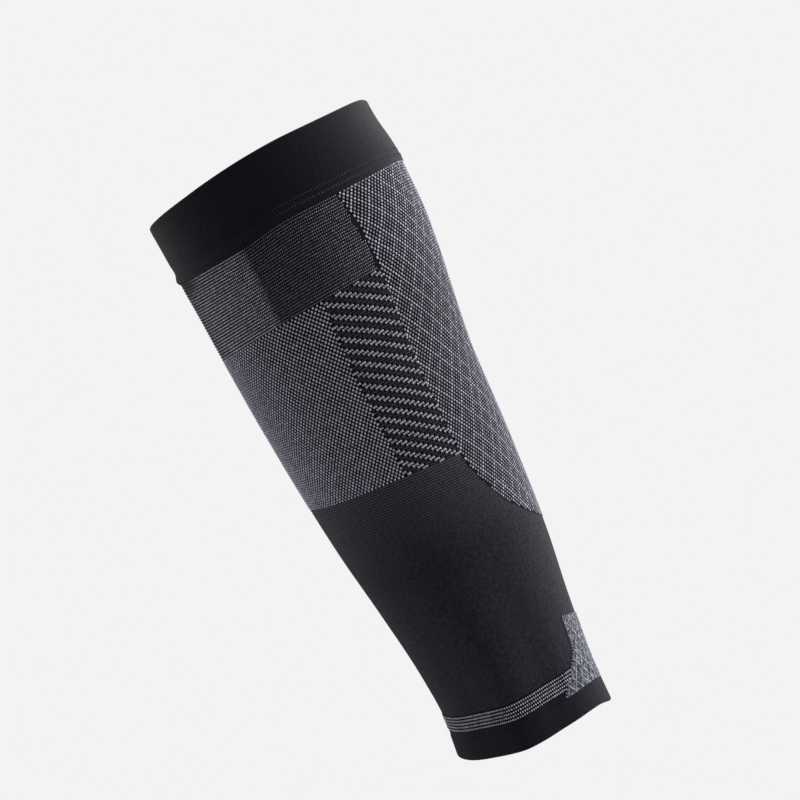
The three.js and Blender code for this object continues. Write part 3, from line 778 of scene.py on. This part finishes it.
stitches = lay_stitches("calf_stitches", turn[chosen], level_of[chosen], -0.00005,
                        (0.0013, 0.0014, 0.00045), pale_yarn, tone=tone[chosen],
                        scale=np.where(lattice, 1.12, 1.0)[chosen], mottle=0.1)
finish(stitches, "calf_panel")
start = np.arange(CALF_ANGLE - 1.5, 362 - CALF_ANGLE, 0.95)
start_row = lay_stitches("calf_start_row", start, cuff_line(start) - 0.0005, -0.00005,
                         (0.001, 0.0008, 0.0004), pale_yarn, tone=0.45)
finish(start_row, "calf_panel")

# Lower leg: plain black knit all round, with fine ribs under the long seam that fade out downwards.
# It ends at the ankle band and round the Achilles patch.
HEM_LEVEL = -0.1705
HEM_BACK_DIP = 0.0055
BAND_TOP = -0.159
PATCH_HEIGHT = 0.0335
PATCH_NOTCH = 0.007
PATCH_ANGLES = (120.5, 143.3)
FINE_RIB = 0.00124
FINE_RIBS = 34

# Columns: share of the way in from the patch's lowest corner to its neck, and share of its height
PATCH_EDGE = np.array([
    (0, 0),
    (0.11, 0.087),
    (0.417, 0.224),
    (0.68, 0.355),
    (0.943, 0.522),
    (0.985, 0.615),
    (1, 1),
])


def patch_edge(angles):
    """The Achilles patch's edge: its level at an angle."""
    turned = from_shin(angles)
    inwards = (turned - PATCH_ANGLES[0]) / (PATCH_ANGLES[1] - PATCH_ANGLES[0])
    beside = PATCH_HEIGHT * np.interp(inwards, PATCH_EDGE[:, 0], PATCH_EDGE[:, 1])
    over = PATCH_HEIGHT - PATCH_NOTCH * (turned - PATCH_ANGLES[1]) / (180 - PATCH_ANGLES[1])
    return HEM_LEVEL + np.where(inwards <= 1, beside, over)


def lower_top(angles):
    turned = from_shin(angles)
    return np.where(turned < CALF_ANGLE, lower_seam(turned), calf_tip(turned))


neck = PATCH_ANGLES[0] + (PATCH_ANGLES[1] - PATCH_ANGLES[0]) * np.array([0.655, 0.68, 0.8, 0.943, 0.985, 1])
half = np.unique(np.concatenate([
    np.linspace(0, CALF_ANGLE, 54),
    CALF_ANGLE + (180 - CALF_ANGLE) * CALF_TIP[:, 0],
    neck,
    np.linspace(CALF_ANGLE + 3, 180, 18),
]).round(3))
around = np.concatenate([-half[:0:-1], half])
top = lower_top(around)
bottom = np.maximum(BAND_TOP, patch_edge(around))
rib_rows = np.arange(0, FINE_RIBS * 6 + 1) * FINE_RIB / 6
seam = lower_seam(np.minimum(np.abs(around), CALF_ANGLE))
ribbed_levels = seam[None, :] - rib_rows[:, None]
share = np.linspace(0, 1, 33)[1:, None]
plain_levels = (1 - share) * ribbed_levels[-1:] + share * bottom[None, :]
levels = np.vstack([ribbed_levels, plain_levels])[::-1]
depth = np.concatenate([rib_rows, np.full(32, rib_rows[-1])])[::-1]
fade = np.clip(1 - depth / rib_rows[-1], 0, 1) ** 0.7
ribs = 0.0002 * fade * (0.5 - 0.5 * np.cos(2 * math.pi * depth / FINE_RIB))
levels = np.clip(levels, bottom[None, :], top[None, :])
courses = (seam[None, :] - levels) / FINE_RIB
lower_leg = knit_shell("lower_leg_knit", around[None, :], levels, ribs[:, None], -KNIT_WALL,
                       (around[None, :] * 0.85, courses), ring=True, keep=(16, 2))
plain_yarn, tree, shader = yarn("plain black knit", sheen=0.07, specular=0.2)
wale, course = stitch_place(tree)
faded = math_node(tree, "MAXIMUM", math_node(tree, "MULTIPLY_ADD", course, -1 / FINE_RIBS, 1.0), 0.0)
columns = math_node(tree, "MULTIPLY_ADD", wave(tree, wale), 0.5, 0.5)
line = math_node(tree, "MULTIPLY", math_node(tree, "POWER", wave(tree, course), 1.5), faded)
line = math_node(tree, "MULTIPLY", line, columns)
fuzz = yarn_noise(tree, 550, 4.0)
height = math_node(tree, "MULTIPLY_ADD", stockinette(tree, wale, course), 0.4, fuzz)
tone = math_node(tree, "MULTIPLY_ADD", line, 0.9, math_node(tree, "MULTIPLY", height, 0.3))
tree.links.new(ramp(tree, tone, (0.1, (0.006, 0.005, 0.01)), (0.25, (0.036, 0.031, 0.049)),
                    (1.0, (0.15, 0.14, 0.17))), shader.inputs["Base Color"])
raise_yarn(tree, shader, height, 0.0005)
finish(lower_leg, "lower_leg_panel", plain_yarn)

# Ankle band: plain black knit, open at the back for the patch. Five lines of pale stitches are knitted
# into it, and below them it turns as dark as the cuff that follows.
LINE_COUNT = 5
LINE_STEP = 0.0016
LINE_LEVELS = -0.1603 - LINE_STEP * np.arange(LINE_COUNT)
LINED_COURSES = 4.6
LINE_STITCH = 1.72


def hem_line(angles):
    return HEM_LEVEL - HEM_BACK_DIP * back(angles) ** 18


def patch_side(levels):
    """The Achilles patch's edge: its angle at a level."""
    share = (levels - HEM_LEVEL) / PATCH_HEIGHT
    inwards = np.interp(share, PATCH_EDGE[:, 1], PATCH_EDGE[:, 0])
    return PATCH_ANGLES[0] + (PATCH_ANGLES[1] - PATCH_ANGLES[0]) * inwards


rows = np.linspace(HEM_LEVEL, BAND_TOP, 13)
angles = patch_side(rows)[:, None] * np.linspace(-1, 1, 101)[None, :]
band = knit_shell("ankle_band_knit", angles, rows[:, None], 0.0, -KNIT_WALL,
                  (angles * 0.75, (LINE_LEVELS[0] - rows[:, None]) / LINE_STEP), keep=(3, 2))
band_yarn, tree, shader = yarn("ankle band knit", sheen=0.02, specular=0.15)
wale, course = stitch_place(tree)
height = math_node(tree, "MULTIPLY_ADD", stockinette(tree, wale, course), 0.2, yarn_noise(tree, 700, 3.0))
lined = math_node(tree, "LESS_THAN", course, LINED_COURSES)
tone = math_node(tree, "MULTIPLY_ADD", lined, -0.35, height)
tree.links.new(ramp(tree, tone, (0.1, (0.0012, 0.001, 0.002)), (0.3, (0.0075, 0.0065, 0.012)),
                    (0.85, (0.022, 0.019, 0.031))), shader.inputs["Base Color"])
raise_yarn(tree, shader, height, 0.0002)
finish(band, "ankle_band", band_yarn)
turns = []
heights = []
for level in LINE_LEVELS:
    edge = float(patch_side(level)) - 1.0
    row = np.arange(-edge, edge, LINE_STITCH)
    turns.append(row)
    heights.append(np.full(len(row), level))
lines = lay_stitches("ankle_lines", np.concatenate(turns), np.concatenate(heights), -0.00005,
                     (0.00092, 0.0012, 0.0005), pale_yarn, tone=1.15)
finish(lines, "ankle_band")

# Achilles patch: thick grey heather knit over the tendon, with raised lines of pale stitches that
# cross. Its stitches interlock with the black knit in small teeth along its sides and top.
PATCH_CELL = 0.0052
PATCH_SLOPE = 1.45
ANKLE_RADIUS = 0.041
up = np.linspace(0, 1, 68)[:, None]
edge_levels = HEM_LEVEL + PATCH_HEIGHT * up
edge = patch_side(edge_levels)
across = np.linspace(-1, 1, 81)[None, :]
angles = 180 + (180 - edge) * across
levels = edge_levels + (1 - up) * (hem_line(angles) - HEM_LEVEL) - up * PATCH_NOTCH * (1 - np.abs(across))
arc = np.radians(angles - 180) * ANKLE_RADIUS
patch = knit_shell("achilles_patch_knit", angles, levels, 0.0002, -KNIT_WALL,
                   (arc / 0.0011, levels / 0.0012), keep=(6, 6))
heather, tree, shader = yarn("grey heather yarn", roughness=0.85, sheen=0.25, specular=0.2)
wale, course = stitch_place(tree)
fuzz = yarn_noise(tree, 650, 4.0)
tree.links.new(ramp(tree, fuzz, (0.36, (0.018, 0.02, 0.03)), (0.5, (0.14, 0.147, 0.19)),
                    (0.64, (0.48, 0.49, 0.56))), shader.inputs["Base Color"])
height = math_node(tree, "MULTIPLY_ADD", stockinette(tree, wale, course), 0.5, fuzz)
raise_yarn(tree, shader, height, 0.0005)
finish(patch, "achilles_patch", heather)

steps = np.arange(-0.06, 0.06, 0.0007)
turns = []
heights = []
leans = []
for number in range(-16, 17):
    for side in (1, -1):
        turns.append(180 + np.degrees((steps + number * PATCH_CELL) / ANKLE_RADIUS))
        heights.append(HEM_LEVEL + 0.0005 + side * PATCH_SLOPE * steps)
        leans.append(np.full(len(steps), side * math.degrees(math.atan(PATCH_SLOPE))))
turns = np.concatenate(turns)
heights = np.concatenate(heights)
leans = np.concatenate(leans)
inside_patch = (heights < patch_edge(turns) - 0.0003) & (heights > hem_line(turns) + 0.0003)
inside_patch &= from_shin(turns) > patch_side(heights)
crossing_lines = lay_stitches("patch_lines", turns[inside_patch], heights[inside_patch], 0.0001,
                              (0.0017, 0.0009, 0.0005), pale_yarn, tone=0.8, mottle=0.35,
                              lean=leans[inside_patch])
finish(crossing_lines, "achilles_patch")

tooth_levels = np.arange(HEM_LEVEL + 0.0006, HEM_LEVEL + PATCH_HEIGHT, 0.0013)
tooth_turns = patch_side(tooth_levels) - 0.7
top_turns = np.arange(PATCH_ANGLES[1], 180, 2.6)
turns = np.concatenate([tooth_turns, 360 - tooth_turns, top_turns, 360 - top_turns])
heights = np.concatenate([tooth_levels, tooth_levels, patch_edge(top_turns) + 0.0002,
                          patch_edge(top_turns) + 0.0002])
teeth = lay_stitches("patch_teeth", turns, heights, 0.0, (0.0015, 0.001, 0.0005), pale_yarn, tone=0.5)
finish(teeth, "achilles_patch")

# Bottom cuff: smooth black double knit that follows on from the ankle band. It is turned at the rim
# and closes the hem round the ankle, a little lower at the back.
BOTTOM_WALL = 0.0022
BOTTOM_PROUD = 0.0003
RIM_BACK_DIP = 0.0075
around = np.linspace(-180, 180, 193)
rim = -HEM_DROP - RIM_BACK_DIP * back(around) ** 18
radius = BOTTOM_WALL / 2
curl = np.radians(np.linspace(90, 0, 7))
height = np.concatenate([radius * (1 - np.sin(curl)), np.zeros(14)])
share = np.concatenate([np.zeros(7), np.linspace(0, 1, 15)[1:]])
start = rim + radius
levels = rim[None, :] + height[:, None]
levels[7:] = start[None, :] + (hem_line(around) - start)[None, :] * share[7:, None]
stand = np.full(21, BOTTOM_PROUD)
stand[:7] -= radius * (1 - np.cos(curl))
inside = np.full(21, BOTTOM_PROUD - BOTTOM_WALL)
stand[-1] = 0.00005
inside[:7] += radius * (1 - np.cos(curl))
hem = knit_shell("bottom_cuff_knit", around[None, :], levels, stand[:, None], inside[:, None],
                 (around[None, :] * 0.75, levels / 0.0009), ring=True, keep=(1, 3))
hem_yarn = plain_knit("black hem knit", (0.0085, 0.0073, 0.0132), (0.022, 0.019, 0.031),
                      grain=800, depth=0.00025, sheen=0.0, specular=0.15)
finish(hem, "bottom_cuff", hem_yarn)

# The camera looks along -X at the sleeve's +X side, rolled as in the photo, in front of white walls.
# Large soft lights stand at its left and right, a little behind it, and it is dim in front.
TILT = math.radians(26.13)
camera = bpy.data.objects.new("camera", bpy.data.cameras.new("camera"))
camera.data.lens = 54
camera.data.sensor_width = 36
camera.data.shift_x = 0.0354
camera.data.shift_y = -0.0096
camera.data.clip_start = 0.01
camera.matrix_world = Matrix((
    (0, 0, 1, 0.6),
    (math.cos(TILT), math.sin(TILT), 0, 0),
    (-math.sin(TILT), math.cos(TILT), 0, 0),
    (0, 0, 0, 1),
))
bpy.context.scene.collection.objects.link(camera)
bpy.context.scene.camera = camera

# The worn sleeve hangs clear of the floor, a plain pale disc that lies under the photo's frame.
FLOOR_LEVEL = -0.5
FLOOR_RADIUS = 0.45
turn = np.radians(np.arange(0, 360, 5))
disc = np.stack([FLOOR_RADIUS * np.cos(turn), FLOOR_RADIUS * np.sin(turn), turn * 0 + FLOOR_LEVEL], axis=-1)
mesh = bpy.data.meshes.new("floor")
mesh.from_pydata(disc.tolist(), [], [range(len(disc))])
paper = bpy.data.materials.new("pale floor")
paper.use_nodes = True
paper.node_tree.nodes["Principled BSDF"].inputs["Base Color"].default_value = (0.9, 0.9, 0.9, 1)
paper.node_tree.nodes["Principled BSDF"].inputs["Roughness"].default_value = 0.9
mesh.materials.append(paper)
floor = bpy.data.objects.new("floor", mesh)
bpy.context.scene.collection.objects.link(floor)
floor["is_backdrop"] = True

FRONT_LIGHT = 0.066
SOFT_LIGHTS = (
    ((-0.3, -0.95, 0.05), 3.0, 0.86),
    ((-0.3, 0.95, 0.05), 3.0, 3.4),
    ((0.2, 0.1, 0.97), 2.0, 0.3),
)
world = bpy.data.worlds.new("white studio")
world.use_nodes = True
tree = world.node_tree
sky = tree.nodes["Background"]
place = tree.nodes.new("ShaderNodeTexCoord")
glow = FRONT_LIGHT
for direction, spread, strength in SOFT_LIGHTS:
    towards = tree.nodes.new("ShaderNodeVectorMath")
    towards.operation = "DOT_PRODUCT"
    tree.links.new(place.outputs["Generated"], towards.inputs[0])
    towards.inputs[1].default_value = direction
    facing = math_node(tree, "MAXIMUM", towards.outputs["Value"], 0.0)
    glow = math_node(tree, "MULTIPLY_ADD", math_node(tree, "POWER", facing, spread), strength, glow)
sky.inputs["Color"].default_value = (1, 1, 1, 1)
tree.links.new(glow, sky.inputs["Strength"])
plain = tree.nodes.new("ShaderNodeBackground")
plain.inputs["Color"].default_value = (0.896, 0.896, 0.896, 1)
seen = tree.nodes.new("ShaderNodeLightPath")
choice = tree.nodes.new("ShaderNodeMixShader")
tree.links.new(seen.outputs["Is Camera Ray"], choice.inputs[0])
tree.links.new(sky.outputs[0], choice.inputs[1])
tree.links.new(plain.outputs[0], choice.inputs[2])
tree.links.new(choice.outputs[0], tree.nodes["World Output"].inputs["Surface"])
bpy.context.scene.world = world
bpy.context.scene.view_settings.view_transform = "Standard"

low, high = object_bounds()
